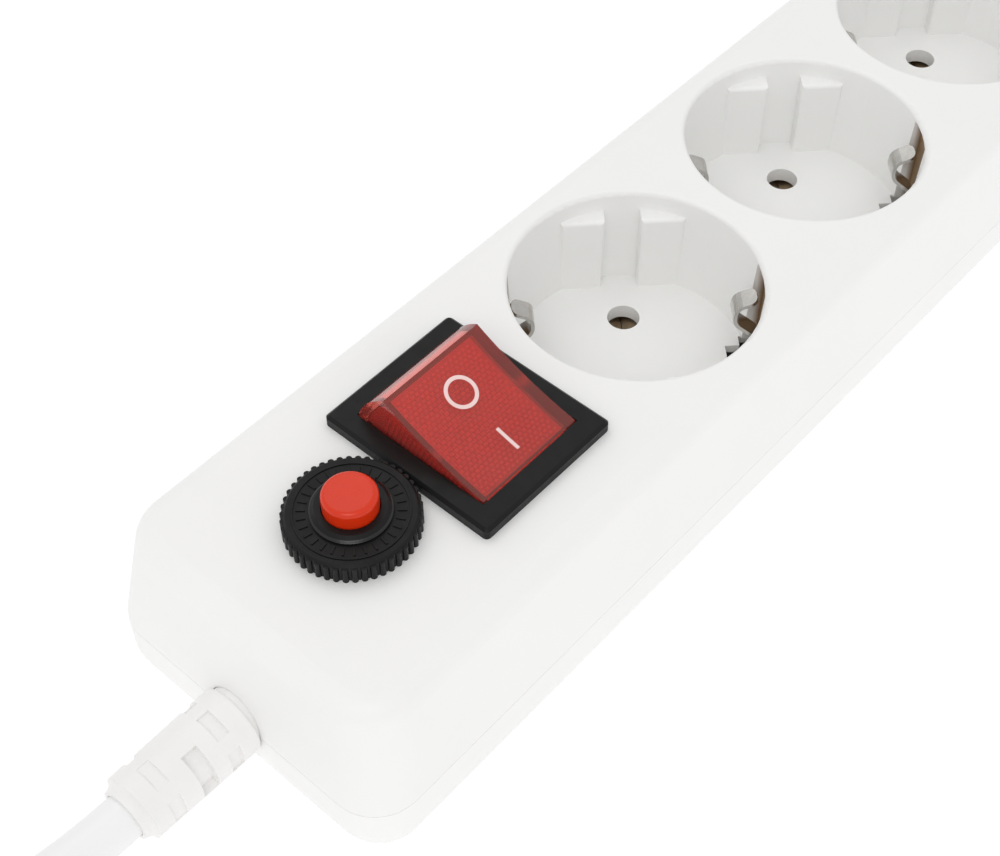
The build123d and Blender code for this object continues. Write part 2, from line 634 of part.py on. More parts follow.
with BuildPart() as reset_button:
    with BuildSketch(Plane.XY.offset(30.2)):
        with Locations((nut_x, nut_y)):
            Circle(4.0)
    extrude(amount=45.2 - 30.2)
    fillet(reset_button.faces().sort_by(Axis.Z)[-1].edges(), 0.85)
    with BuildSketch(Plane.XY.offset(30.2)):
        with Locations((nut_x, nut_y)):
            Circle(4.7)
    extrude(amount=1.4)
    with BuildSketch(Plane.XY.offset(24.0)):
        with Locations((nut_x, nut_y)):
            Circle(2.4)
    extrude(amount=6.4)
reset_button.part.label = "reset_button"

with BuildPart() as breaker_spring:
    with BuildLine(Plane.XY.offset(22.85)):
        coil = Helix(pitch=1.35, height=7.0, radius=3.6, center=(nut_x, nut_y, 0))
    with BuildSketch(Plane(origin=coil @ 0, z_dir=coil % 0)):
        Circle(0.3)
    sweep(path=coil)
breaker_spring.part.label = "breaker_spring"

with BuildPart() as breaker_terminals:
    for s in (1, -1):
        with BuildSketch(Plane.XZ.offset(-(nut_y + s * 8.0) + 0.4)):
            with Locations((nut_x, 10.0)):
                RectangleRounded(6.3, 8.0, 0.8)
            with Locations((nut_x, 15.2)):
                Rectangle(5.0, 3.6)
        extrude(amount=-0.8)
breaker_terminals.part.label = "breaker_terminals"

with BuildPart() as breaker_bimetal:
    with BuildSketch(Plane.YZ.offset(nut_x)):
        with BuildLine():
            Polyline((nut_y - 9.4, 17.25), (nut_y - 6.6, 17.25), (nut_y, 18.4), (nut_y + 6.6, 17.25), (nut_y + 9.4, 17.25))
        trace(line_width=0.4)
    extrude(amount=2.6, both=True)
breaker_bimetal.part.label = "breaker_bimetal"

# ---------------------------------------------------------------- surge protection
with BuildPart() as surge_varistor:
    with BuildSketch(Plane.XZ.offset(-15.4)):
        with Locations((-121.0, 24.0)):
            Circle(8.4)
    extrude(amount=-4.4)
    fillet(surge_varistor.edges().filter_by(GeomType.CIRCLE), 1.4)
    with BuildSketch(Plane.XY.offset(10.6)):
        with Locations((-123.5, 17.6), (-118.5, 17.6)):
            Circle(0.4)
    extrude(amount=9.0)
surge_varistor.part.label = "surge_varistor"

with BuildPart() as thermal_fuse:
    with BuildSketch(Plane.YZ.offset(-108.0)):
        with Locations((17.6, 26.0)):
            Circle(1.9)
    extrude(amount=11.0)
    with BuildSketch(Plane.YZ.offset(-111.5)):
        with Locations((17.6, 26.0)):
            Circle(0.4)
    extrude(amount=18.0)
thermal_fuse.part.label = "thermal_fuse"

# ---------------------------------------------------------------- push-on receptacles and inner wires
tabs = [(nut_x, nut_y + 8.0), (nut_x, nut_y - 8.0), (sw_x - 5, 0.0), (sw_x - 5, 7.0), (sw_x + 5, 0.0), (sw_x + 5, 7.0)]
with BuildPart() as push_on_terminals:
    with BuildSketch(Plane.XY.offset(5.0)):
        with Locations(*tabs):
            RectangleRounded(7.6, 2.6, 0.5)
    extrude(amount=8.2)
    with BuildSketch(Plane.XY.offset(5.8)):
        with Locations(*tabs):
            Rectangle(6.5, 1.0)
    extrude(amount=8.0, mode=Mode.SUBTRACT)
push_on_terminals.part.label = "push_on_terminals"

wire_r = 1.2
wires = {
    "live_wire_in": [(sheath_end, 1.7, 19.1), (-132.4, 1.7, 19.1), (-132.4, nut_y + 8.0, 9.4), (nut_x - 3.8, nut_y + 8.0, 9.4)],
    "live_wire_switch": [(nut_x + 3.8, nut_y - 8.0, 9.4), (-115.6, nut_y - 8.0, 9.4), (-112.2, 0.0, 9.4), (sw_x - 8.8, 0.0, 9.4)],
    "live_wire_out": [(sw_x - 5, 8.3, 9.4), (sw_x - 5, 14.0, 9.4), (-84.0, 14.8, 10.6), (-79.8, 14.4, 11.5), (-79.8, bar_y + 0.8, 11.5)],
    "neutral_wire_in": [(sheath_end, -1.7, 19.1), (-132.4, -1.7, 19.1), (-132.4, -9.6, 8.4), (-127.6, -13.8, 6.6), (-98.0, -14.0, 6.2), (-86.8, -8.0, 8.4), (-86.8, 0.0, 9.4), (sw_x + 8.8, 0.0, 9.4)],
    "neutral_wire_out": [(sw_x + 8.8, 7.0, 9.4), (-84.8, 7.0, 9.4), (-80.6, 0.0, 5.8), (-80.6, -6.2, 11.2), (-80.6, -bar_y, 11.2)],
    "earth_wire": [(sheath_end, 0.0, 16.7), (-132.4, 0.0, 16.7), (-132.4, 1.4, 4.4), (-126.5, 3.0, 3.7), (-100.0, 4.4, 3.6), (-76.6, 4.2, 3.9), (-71.0, 0.0, 8.0), (-71.0, 0.0, 15.9)],
}
wire_parts = {}
for name, pts in wires.items():
    radii = []
    for a, b, c in zip(pts, pts[1:], pts[2:]):
        u, v = Vector(*b) - Vector(*a), Vector(*c) - Vector(*b)
        t = math.tan(math.radians(u.get_angle(v)) / 2)
        radii.append(min(6.0, 0.45 * min(u.length, v.length) / t))
    with BuildPart() as wire:
        with BuildLine() as route:
            FilletPolyline(*pts, radius=radii)
        with BuildSketch(Plane(origin=route.line @ 0, z_dir=route.line % 0)):
            Circle(wire_r)
        sweep(path=route.line)
    wire.part.label = name
    wire_parts[name] = wire

# ---------------------------------------------------------------- gland, clamp and the sheath inside the box
with BuildPart() as cord_gland:
    with BuildSketch(Plane.XY.offset(cord_z)):
        with BuildLine():
            Polyline(
                (gland_end, cord_y + 3.5), (-141.2, cord_y + 3.5), (-141.2, cord_y + 4.8), (-142.6, cord_y + 4.8),
                (-142.6, cord_y + 7.2), (-144.6, cord_y + 7.2), (-144.6, cord_y + 4.9), (-148.3, cord_y + 4.9),
                (-148.3, cord_y + 5.2), (-148.65, cord_y + 5.52), (-152.0, cord_y + 5.5), (-165.0, cord_y + 5.27),
                (-166.6, cord_y + 5.25),
            )
            RadiusArc((-166.6, cord_y + 5.25), (gland_end, cord_y + 4.1), 1.6)
            Line((gland_end, cord_y + 4.1), (gland_end, cord_y + 3.5))
        make_face()
    revolve(axis=Axis((0, cord_y, cord_z), (1, 0, 0)))
    # two rows of five flexing windows, and a pair of long slots between them
    for x0, first in ((-152.6, 14.0), (-162.9, 8.5)):
        for k in range(5):
            with Locations(Location((x0, cord_y, cord_z), (first + 72 * k, 0, 0))):
                with Locations((0, 0, 4.75)):
                    Box(2.1, 4.2, 2.0, align=(Align.CENTER, Align.CENTER, Align.MIN), mode=Mode.SUBTRACT)
    with BuildSketch(Plane.YZ.offset(-158.8)):
        for first in (19.0, 199.0):
            ring = [(r, first + 91.0 * k / 8) for r, ks in ((4.1, range(9)), (7.0, range(8, -1, -1))) for k in ks]
            with BuildLine():
                Polyline(*[(cord_y - r * math.sin(math.radians(a)), cord_z + r * math.cos(math.radians(a))) for r, a in ring], close=True)
            make_face()
    extrude(amount=2.65, mode=Mode.SUBTRACT)
cord_gland.part.label = "cord_gland"

with BuildPart() as cord_sheath:
    with BuildSketch(Plane.YZ.offset(gland_end)):
        with Locations((cord_y, cord_z)):
            Circle(cord_r)
    extrude(amount=sheath_end - gland_end)
cord_sheath.part.label = "cord_sheath"

with BuildPart() as cord_clamp:
    with BuildSketch(Plane.YZ.offset(clamp_x)):
        with Locations((cord_y, cord_z + 1.05)):
            Rectangle(20.0, 2.5)
        with Locations((cord_y, cord_z)):
            Circle(5.6)
        with Locations((cord_y, cord_z - 5)):
            Rectangle(24.0, 9.6, mode=Mode.SUBTRACT)
        with Locations((cord_y, cord_z)):
            Circle(cord_r + 0.05, mode=Mode.SUBTRACT)
    extrude(amount=2.2, both=True)
    with BuildSketch(Plane.XY.offset(cord_z - 3.0)):
        with Locations((clamp_x, cord_y + 7.6), (clamp_x, cord_y - 7.6)):
            Circle(1.4)
    extrude(amount=8.0, mode=Mode.SUBTRACT)
cord_clamp.part.label = "cord_clamp"

with BuildPart() as clamp_screws:
    with BuildSketch(Plane.XY.offset(cord_z + 2.3)):
        with Locations((clamp_x, cord_y + 7.6), (clamp_x, cord_y - 7.6)):
            Circle(2.1)
    extrude(amount=1.6)
    with BuildSketch(Plane.XY.offset(cord_z - 5.0)):
        with Locations((clamp_x, cord_y + 7.6), (clamp_x, cord_y - 7.6)):
            Circle(1.2)
    extrude(amount=7.4)
    with BuildSketch(Plane.XY.offset(cord_z + 3.2)):
        with Locations((clamp_x, cord_y + 7.6), (clamp_x, cord_y - 7.6)):
            Rectangle(3.0, 0.7)
    extrude(amount=1.0, mode=Mode.SUBTRACT)
clamp_screws.part.label = "clamp_screws"

# ---------------------------------------------------------------- free cord: run from the gland, folded hank, run to the plug
lay_y = -14.5                                   # middle of the hank
hank_a, hank_b = -226.1, -350.1                 # centres of its two rounded ends
hank_in, hank_out = 20.5, 27.3                  # inner and outer turn
lay_1, lay_2 = 4.0, 10.9                        # heights of the two layers
plug_z = 18.4
plug_tail = -283.1

cord_routes = {
    "power_cord": [
        (gland_end, cord_y, cord_z), (-177.1, cord_y, cord_z), (-191.1, 3.2, 17.6), (-205.1, 8.1, 16.0),
        (-219.1, 12.0, 13.7), (-234.1, lay_y + hank_out, 11.6), (-248.1, lay_y + hank_out + 0.1, lay_2),
    ],
    "plug_cord": [
        (-364.0, lay_y - 15.5, 10.9), (-354.1, lay_y - 20.6, 11.3), (-343.1, lay_y - 21.2, 12.8), (-332.5, lay_y - 18.0, 14.8),
        (-322.7, lay_y - 12.2, 16.8), (-313.5, lay_y - 6.1, 18.0), (-303.3, lay_y - 1.5, plug_z), (-293.1, lay_y, plug_z),
        (plug_tail, lay_y, plug_z),
    ],
}
cord_parts = {}
for name, pts in cord_routes.items():
    radii = []
    for a, b, c in zip(pts, pts[1:], pts[2:]):
        u, v = Vector(*b) - Vector(*a), Vector(*c) - Vector(*b)
        t = math.tan(math.radians(u.get_angle(v)) / 2)
        radii.append(0.45 * min(u.length, v.length) / t)
    with BuildPart() as tube:
        with BuildLine() as route:
            FilletPolyline(*pts, radius=radii)
        with BuildSketch(Plane(origin=route.line @ 0, z_dir=route.line % 0)):
            Circle(cord_r)
        sweep(path=route.line)
    tube.part.label = name
    cord_parts[name] = tube
    print(name, "radii", [round(r, 1) for r in radii], "length", round(route.wire().length, 1),
          "volume", round(tube.part.volume), "section x length", round(math.pi * cord_r**2 * route.wire().length))

mid_x, run = (hank_a + hank_b) / 2, hank_a - hank_b
with BuildPart() as cord_hank:
    with BuildSketch(Plane.XY.offset(lay_1 - cord_r)):
        with Locations((mid_x, lay_y)):
            SlotCenterToCenter(run, 2 * (hank_out + cord_r))
            SlotCenterToCenter(run, 2 * (hank_in - cord_r), mode=Mode.SUBTRACT)
    extrude(amount=lay_2 - lay_1 + 2 * cord_r)
    fillet(cord_hank.faces().sort_by(Axis.Z)[-1].edges() + cord_hank.faces().sort_by(Axis.Z)[0].edges(), cord_r - 0.05)
cord_hank.part.label = "cord_hank"
turn_mid = (hank_in + hank_out) / 2
hank_l = 7 * run + math.pi * (3 * hank_out + 3 * hank_in + turn_mid)
print("cord in the hank", round(hank_l, 1))

# one strap round the four runs on each side
hank_w, hank_h = hank_out - hank_in + 2 * cord_r, lay_2 - lay_1 + 2 * cord_r
with BuildPart() as cord_ties:
    for s, tie_x in ((1, -289.1), (-1, -265.1)):
        with BuildSketch(Plane.YZ.offset(tie_x)):
            with Locations((lay_y + s * turn_mid, (lay_1 + lay_2) / 2)):
                RectangleRounded(hank_w + 1.2, hank_h + 1.2, cord_r + 0.5)
                RectangleRounded(hank_w + 0.04, hank_h + 0.04, cord_r - 0.1, mode=Mode.SUBTRACT)
        extrude(amount=8.0)
cord_ties.part.label = "cord_ties"

# ---------------------------------------------------------------- earthed plug at the far end, lying along +X
plug_axis = Axis((0, lay_y, plug_z), (1, 0, 0))
face_x = plug_tail + 57.0
with BuildPart() as plug_body:
    with BuildSketch(Plane.XY.offset(plug_z)):
        with BuildLine():
            Polyline((plug_tail, lay_y), (plug_tail, lay_y + 4.9), (plug_tail + 22.0, lay_y + 6.6))
            Spline((plug_tail + 22.0, lay_y + 6.6), (plug_tail + 29.0, lay_y + 10.4), (plug_tail + 39.0, lay_y + 13.2), (plug_tail + 47.0, lay_y + 18.2))
            Polyline((plug_tail + 47.0, lay_y + 18.2), (face_x - 1.0, lay_y + 18.3), (face_x, lay_y + 17.4), (face_x, lay_y), (plug_tail, lay_y))
        make_face()
    revolve(axis=plug_axis)
    # grooves for the two side earth contacts
    for s in (1, -1):
        with BuildSketch(Plane.YZ.offset(face_x - 13.0)):
            with Locations((lay_y, plug_z + s * 18.6)):
                Rectangle(8.2, 3.4)
        extrude(amount=14.0, mode=Mode.SUBTRACT)
    # grip grooves across the tail
    for k in range(5):
        with BuildSketch(Plane.YZ.offset(plug_tail + 4.0 + 3.6 * k)):
            with Locations((lay_y, plug_z)):
                Circle(9.0)
                Circle(4.5 + 0.22 * k, mode=Mode.SUBTRACT)
        extrude(amount=1.4, mode=Mode.SUBTRACT)
plug_body.part.label = "plug_body"

with BuildPart() as plug_pins:
    with BuildSketch(Plane.YZ.offset(face_x)):
        with Locations((lay_y + 9.5, plug_z), (lay_y - 9.5, plug_z)):
            Circle(2.4)
    extrude(amount=19.0)
    fillet(plug_pins.faces().group_by(Axis.X)[-1].edges(), 1.2)
plug_pins.part.label = "plug_pins"

with BuildPart() as plug_earth_contacts:
    for s in (1, -1):
        with BuildSketch(Plane.YZ.offset(face_x - 13.0)):
            with Locations((lay_y, plug_z + s * 17.3)):
                Rectangle(6.0, 0.8)
        extrude(amount=12.0)
plug_earth_contacts.part.label = "plug_earth_contacts"

# ---------------------------------------------------------------- one file per piece
pieces = [
    top_cover, base_cover, case_screws, bars["live_busbar"], bars["neutral_busbar"], contacts["live_contacts"],
    contacts["neutral_contacts"], contact_rivets, earth_busbar, earth_springs, earth_rivets, switch_housing, rocker_lens,
    rocker_carrier, switch_plungers, switch_springs, contact_levers, switch_terminals, switch_lamp, lamp_resistor,
    breaker_body, breaker_nut, reset_button, breaker_spring, breaker_terminals, breaker_bimetal, surge_varistor,
    thermal_fuse, push_on_terminals, *wire_parts.values(), cord_gland, cord_sheath, cord_clamp, clamp_screws,
    *cord_parts.values(), cord_hank, cord_ties, plug_body, plug_pins, plug_earth_contacts,
]
for piece in pieces:
    export_step(piece.part, f"parts/{piece.part.label}.step")
    print(piece.part.label, len(piece.part.solids()), round(piece.part.volume))
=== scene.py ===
import json
import math

import bmesh
import bpy
from mathutils import Matrix, Vector


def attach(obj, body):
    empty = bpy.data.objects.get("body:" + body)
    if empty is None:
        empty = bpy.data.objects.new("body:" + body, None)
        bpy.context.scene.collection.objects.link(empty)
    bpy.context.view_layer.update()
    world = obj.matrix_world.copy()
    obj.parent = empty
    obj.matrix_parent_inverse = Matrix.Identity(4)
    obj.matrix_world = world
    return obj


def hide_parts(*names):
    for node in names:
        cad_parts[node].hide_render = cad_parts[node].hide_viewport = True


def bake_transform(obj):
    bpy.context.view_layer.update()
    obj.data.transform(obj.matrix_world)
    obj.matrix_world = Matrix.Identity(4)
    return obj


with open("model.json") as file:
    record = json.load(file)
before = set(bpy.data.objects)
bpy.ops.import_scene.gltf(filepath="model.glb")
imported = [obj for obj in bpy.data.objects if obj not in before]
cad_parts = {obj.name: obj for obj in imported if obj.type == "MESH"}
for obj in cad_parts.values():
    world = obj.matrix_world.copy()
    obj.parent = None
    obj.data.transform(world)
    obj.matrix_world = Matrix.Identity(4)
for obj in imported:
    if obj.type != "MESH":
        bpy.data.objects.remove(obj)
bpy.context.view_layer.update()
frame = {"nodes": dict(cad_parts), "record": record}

MM = 0.001


# ------------------------------------------------------------------ helpers
def lin(c):
    """sRGB 0..1 to linear."""
    return tuple((v / 12.92 if v <= 0.04045 else ((v + 0.055) / 1.055) ** 2.4) for v in c) + (1.0,)


class Mat:
    """A node material with one Principled shader and object-space procedural detail."""

    def __init__(self, name):
        self.m = bpy.data.materials.new(name)
        self.m.use_nodes = True
        self.nt = self.m.node_tree
        self.nt.nodes.clear()
        self.out = self.nt.nodes.new("ShaderNodeOutputMaterial")
        self.b = self.nt.nodes.new("ShaderNodeBsdfPrincipled")
        self.nt.links.new(self.b.outputs[0], self.out.inputs[0])
        self.co = self.nt.nodes.new("ShaderNodeTexCoord").outputs["Object"]

    def set(self, **kw):
        for k, v in kw.items():
            self.b.inputs[k.replace("_", " ")].default_value = v
        return self

    def node(self, kind, **kw):
        n = self.nt.nodes.new(kind)
        for k, v in kw.items():
            setattr(n, k, v)
        return n

    def link(self, a, b):
        self.nt.links.new(a, b)

    def mapped(self, scale=(1, 1, 1), rot=(0, 0, 0), loc=(0, 0, 0)):
        n = self.node("ShaderNodeMapping")
        n.inputs["Scale"].default_value = scale
        n.inputs["Rotation"].default_value = rot
        n.inputs["Location"].default_value = loc
        self.link(self.co, n.inputs["Vector"])
        return n.outputs[0]

    def noise(self, scale, detail=3.0, rough=0.5, vec=None, dist=0.0):
        n = self.node("ShaderNodeTexNoise")
        n.inputs["Scale"].default_value = scale
        n.inputs["Detail"].default_value = detail
        n.inputs["Roughness"].default_value = rough
        n.inputs["Distortion"].default_value = dist
        self.link(vec if vec is not None else self.co, n.inputs["Vector"])
        return n.outputs["Fac"]

    def ramp(self, fac, stops):
        n = self.node("ShaderNodeValToRGB")
        el = n.color_ramp.elements
        while len(el) < len(stops):
            el.new(0.5)
        for e, (p, c) in zip(el, stops):
            e.position = p
            e.color = c if len(c) == 4 else (*c, 1)
        self.link(fac, n.inputs[0])
        return n.outputs[0]

    def map_range(self, v, a, b, c, d):
        n = self.node("ShaderNodeMapRange")
        for i, x in enumerate((a, b, c, d)):
            n.inputs[i + 1].default_value = x
        self.link(v, n.inputs[0])
        return n.outputs[0]

    def math(self, op, a, b=None, clamp=False):
        n = self.node("ShaderNodeMath", operation=op, use_clamp=clamp)
        for i, x in enumerate((a, b)):
            if x is None:
                continue
            if isinstance(x, (int, float)):
                n.inputs[i].default_value = x
            else:
                self.link(x, n.inputs[i])
        return n.outputs[0]

    def mix(self, fac, a, b):
        n = self.node("ShaderNodeMix", data_type="RGBA")
        for sock, x in ((n.inputs[0], fac), (n.inputs[6], a), (n.inputs[7], b)):
            if isinstance(x, (int, float)):
                sock.default_value = x
            elif isinstance(x, tuple):
                sock.default_value = x
            else:
                self.link(x, sock)
        return n.outputs[2]

    def bump(self, height, strength=0.2, distance=0.0001, prev=None):
        n = self.node("ShaderNodeBump")
        n.inputs["Strength"].default_value = strength
        n.inputs["Distance"].default_value = distance
        self.link(height, n.inputs["Height"])
        if prev is not None:
            self.link(prev, n.inputs["Normal"])
        self.link(n.outputs[0], self.b.inputs["Normal"])
        return n.outputs[0]


def plastic(name, rgb, rough=0.4, grain=3500.0, grain_h=0.00002, var=0.03, coat=0.0, sss=0.0, spec=0.5, rough_var=0.06, blotch=60.0, wear=0.0):
    """Moulded plastic: faint colour drift, a fine moulded grain and uneven gloss."""
    m = Mat(name)
    c = lin(rgb)
    dark = tuple(v * (1 - var) for v in c[:3]) + (1,)
    light = tuple(min(1.0, v * (1 + var * 0.5)) for v in c[:3]) + (1,)
    drift = m.noise(blotch, 4, 0.6)
    m.link(m.ramp(drift, [(0.3, dark), (0.7, light)]), m.b.inputs["Base Color"])
    fine = m.noise(grain, 2, 0.5)
    m.link(m.map_range(m.noise(blotch * 7, 3, 0.6), 0.3, 0.7, rough - rough_var, rough + rough_var), m.b.inputs["Roughness"])
    m.bump(fine, 0.35, grain_h)
    m.set(Coat_Weight=coat, Specular_IOR_Level=spec)
    if coat:
        m.set(Coat_Roughness=0.08)
    if sss:
        m.set(Subsurface_Weight=sss, Subsurface_Scale=0.002)
        m.b.inputs["Subsurface Radius"].default_value = (1.0, 1.0, 1.0)
    return m.m


def metal(name, rgb, rough=0.25, brush=(40, 900, 900), aniso=0.0, tarnish=0.12, streak=0.12):
    """Drawn or plated metal: streaks along the part and faint tarnish."""
    m = Mat(name)
    c = lin(rgb)
    dark = tuple(v * (1 - tarnish) for v in c[:3]) + (1,)
    m.link(m.ramp(m.noise(180, 5, 0.65), [(0.35, dark), (0.65, c)]), m.b.inputs["Base Color"])
    s = m.noise(1.0, 3, 0.6, m.mapped(scale=brush))
    m.link(m.map_range(s, 0.3, 0.7, max(0.03, rough - streak * 0.5), rough + streak * 0.5), m.b.inputs["Roughness"])
    m.bump(s, 0.12, 0.00002)
    m.set(Metallic=1.0)
    return m.m


# ------------------------------------------------------------------ materials
WHITE = (0.984, 0.983, 0.978)
M = {}
M["white_shell"] = plastic("white_shell", WHITE, rough=0.44, grain=5200, grain_h=0.00003, var=0.012, sss=0.0, spec=0.4)
M["gland_plastic"] = plastic("gland_plastic", (0.975, 0.97, 0.965), rough=0.42, grain=4000, grain_h=0.00003, var=0.03, spec=0.4)
M["white_pvc"] = plastic("white_pvc", (0.98, 0.98, 0.98), rough=0.38, grain=2600, grain_h=0.00003, var=0.02, spec=0.45, blotch=45)
M["plug_plastic"] = plastic("plug_plastic", (0.97, 0.97, 0.965), rough=0.4, grain=4200, grain_h=0.00003, var=0.02)
M["black_plastic"] = plastic("black_plastic", (0.07, 0.07, 0.07), rough=0.45, grain=5000, grain_h=0.00004, var=0.25, spec=0.25, rough_var=0.08)
M["orange_red"] = plastic("orange_red", (0.87, 0.20, 0.05), rough=0.25, grain=2200, grain_h=0.00001, var=0.05, spec=0.4)
M["red_inner"] = plastic("red_inner", (0.86, 0.07, 0.05), rough=0.35, grain=2200, grain_h=0.00001, var=0.06, spec=0.5)
M["grey_plastic"] = plastic("grey_plastic", (0.45, 0.45, 0.46), rough=0.45, var=0.08)
M["plated"] = metal("plated", (0.80, 0.79, 0.77), rough=0.16, tarnish=0.2)
M["brass_strip"] = metal("brass_strip", (0.85, 0.70, 0.40), rough=0.32)
M["copper_contact"] = metal("copper_contact", (0.86, 0.66, 0.45), rough=0.3)
M["zinc_screw"] = metal("zinc_screw", (0.80, 0.80, 0.78), rough=0.3)
M["spring_steel"] = metal("spring_steel", (0.62, 0.62, 0.62), rough=0.28)
M["resistor_body"] = plastic("resistor_body", (0.80, 0.68, 0.48), rough=0.4, var=0.1)
M["varistor_epoxy"] = plastic("varistor_epoxy", (0.10, 0.25, 0.60), rough=0.35, var=0.15, blotch=300)
M["fuse_body"] = plastic("fuse_body", (0.78, 0.75, 0.68), rough=0.4, var=0.1)
M["brown_wire"] = plastic("brown_wire", (0.36, 0.20, 0.12), rough=0.4, var=0.1, blotch=200)
M["blue_wire"] = plastic("blue_wire", (0.08, 0.28, 0.68), rough=0.4, var=0.1, blotch=200)


def green_yellow():
    m = Mat("green_yellow_wire")
    w = m.node("ShaderNodeTexWave", wave_type="BANDS", bands_direction="Y")
    w.inputs["Scale"].default_value = 130
    w.inputs["Distortion"].default_value = 0.6
    m.link(m.co, w.inputs["Vector"])
    m.link(m.ramp(w.outputs["Fac"], [(0.48, lin((0.20, 0.60, 0.16))), (0.52, lin((0.93, 0.82, 0.12)))]), m.b.inputs["Base Color"])
    m.link(m.map_range(m.noise(900, 2), 0.3, 0.7, 0.32, 0.45), m.b.inputs["Roughness"])
    m.bump(m.noise(3000, 2), 0.2, 0.00002)
    return m.m


def hook_loop():
    m = Mat("tie_fabric")
    v = m.node("ShaderNodeTexVoronoi")
    v.inputs["Scale"].default_value = 2200
    m.link(m.co, v.inputs["Vector"])
    m.link(m.ramp(v.outputs["Distance"], [(0.2, (0.012, 0.012, 0.013, 1)), (0.7, (0.04, 0.04, 0.043, 1))]), m.b.inputs["Base Color"])
    m.set(Roughness=0.85, Sheen_Weight=0.4)
    m.bump(v.outputs["Distance"], 0.6, 0.0002)
    return m.m


def lamp_glass():
    m = Mat("lamp_glass")
    m.link(m.ramp(m.noise(400, 2), [(0.3, lin((0.95, 0.80, 0.68))), (0.7, lin((0.98, 0.9, 0.82)))]), m.b.inputs["Base Color"])
    m.set(Transmission_Weight=1.0, IOR=1.5, Roughness=0.03)
    m.bump(m.noise(900, 2), 0.05, 0.00002)
    return m.m


def clear_red():
    m = Mat("clear_red")
    m.link(m.ramp(m.noise(120, 3), [(0.3, (0.985, 0.21, 0.17, 1)), (0.7, (0.995, 0.25, 0.20, 1))]), m.b.inputs["Base Color"])
    m.link(m.map_range(m.noise(500, 3), 0.3, 0.7, 0.04, 0.08), m.b.inputs["Roughness"])
    m.set(Transmission_Weight=0.85, IOR=1.45)
    m.bump(m.noise(1500, 2), 0.05, 0.00001)
    return m.m


def shell_with_painted_pocket_shade():
    """White shell whose spring pockets get painted brown shade towards their back wall."""
    m = Mat("white_shell_top")
    sep = m.node("ShaderNodeSeparateXYZ")
    m.link(m.co, sep.inputs[0])
    x, y, z = sep.outputs
    cell = m.math("FRACT", m.math("DIVIDE", m.math("ADD", x, 0.0835), 0.045))
    xm = m.math("MULTIPLY", m.math("SUBTRACT", cell, 0.5), 0.045)
    a = m.math("ABSOLUTE", m.math("MULTIPLY", m.math("SUBTRACT", xm, y), 0.70711))
    b = m.math("ABSOLUTE", m.math("MULTIPLY", m.math("ADD", xm, y), 0.70711))
    # mask of the deep spring slots, where brown painted shade stands in for the shadow inside the recess
    painted_pocket_shade = m.map_range(a, 0.0200, 0.0211, 0.0, 1.0)
    painted_pocket_shade = m.math("MULTIPLY", painted_pocket_shade, m.math("LESS_THAN", a, 0.0216))
    painted_pocket_shade = m.math("MULTIPLY", painted_pocket_shade, m.math("LESS_THAN", b, 0.0044))
    painted_pocket_shade = m.math("MULTIPLY", painted_pocket_shade, m.math("LESS_THAN", z, 0.0371))
    painted_pocket_shade = m.math("MULTIPLY", painted_pocket_shade, m.math("GREATER_THAN", x, -0.0835))
    painted_pocket_shade = m.math("MULTIPLY", painted_pocket_shade, m.math("LESS_THAN", x, 0.1415))
    c = lin(WHITE)
    low = tuple(v * 0.985 for v in c[:3]) + (1,)
    white = m.ramp(m.noise(60, 4, 0.6), [(0.3, low), (0.7, c)])
    # mix the painted brown shade colour into the white over the slot mask
    m.link(m.mix(painted_pocket_shade, white, lin((0.60, 0.49, 0.37))), m.b.inputs["Base Color"])
    m.link(m.map_range(m.noise(420, 3, 0.6), 0.3, 0.7, 0.38, 0.5), m.b.inputs["Roughness"])
    m.bump(m.noise(5200, 2), 0.35, 0.00003)
    m.set(Specular_IOR_Level=0.4)
    return m.m


M["clear_red"] = clear_red()
M["green_yellow_wire"] = green_yellow()
M["tie_fabric"] = hook_loop()
M["lamp_glass"] = lamp_glass()

SLOT = {s["node"]: s["material_slot"] for s in frame["record"]["subparts"]}


def cad_object(node):
    return frame["nodes"][node]["object"] if isinstance(frame["nodes"][node], dict) else frame["nodes"][node]


def wear_on(node, mat):
    o = cad_object(node)
    for s in o.material_slots:
        s.material = mat
    if not o.material_slots:
        o.data.materials.append(mat)


for node, slot in SLOT.items():
    if slot in M:
        wear_on(node, M[slot])


def new_object(name, mesh_or_curve, mat):
    o = bpy.data.objects.new(name, mesh_or_curve)
    bpy.context.scene.collection.objects.link(o)
    o.data.materials.append(mat)
    return o


# top cover: white shell with painted brown shade in its spring pockets
wear_on("top_cover", shell_with_painted_pocket_shade())


# ------------------------------------------------------------------ rocker: marks, block texture, side ribs
def arc_height(v, mid, end_v, end_h):
    sag = end_h - mid
    r = (end_v ** 2 + sag ** 2) / (2 * sag)
    return mid + r - math.sqrt(r * r - v * v)


def lens_top(v):
    return arc_height(v, 6.82, 9.934, 7.67)


def block_top(v):
    return arc_height(v, 4.92, 9.34, 5.11)


def on_rocker(u, v, h):
    """u along the row, v up the tilted face, h out of it, in mm from the pivot."""
    c, s = math.cos(math.radians(20)), math.sin(math.radians(20))
    return ((-99.7 + u) * MM, (v * c - h * s) * MM, (36.3 + v * s + h * c) * MM)


def rocker_piece(name, build, mat):
    bm = bmesh.new()
    build(bm)
    bmesh.ops.recalc_face_normals(bm, faces=bm.faces)
    me = bpy.data.meshes.new(name)
    bm.to_mesh(me)
    bm.free()
    o = new_object(name, me, mat)
    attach(o, "rocker")
    return o


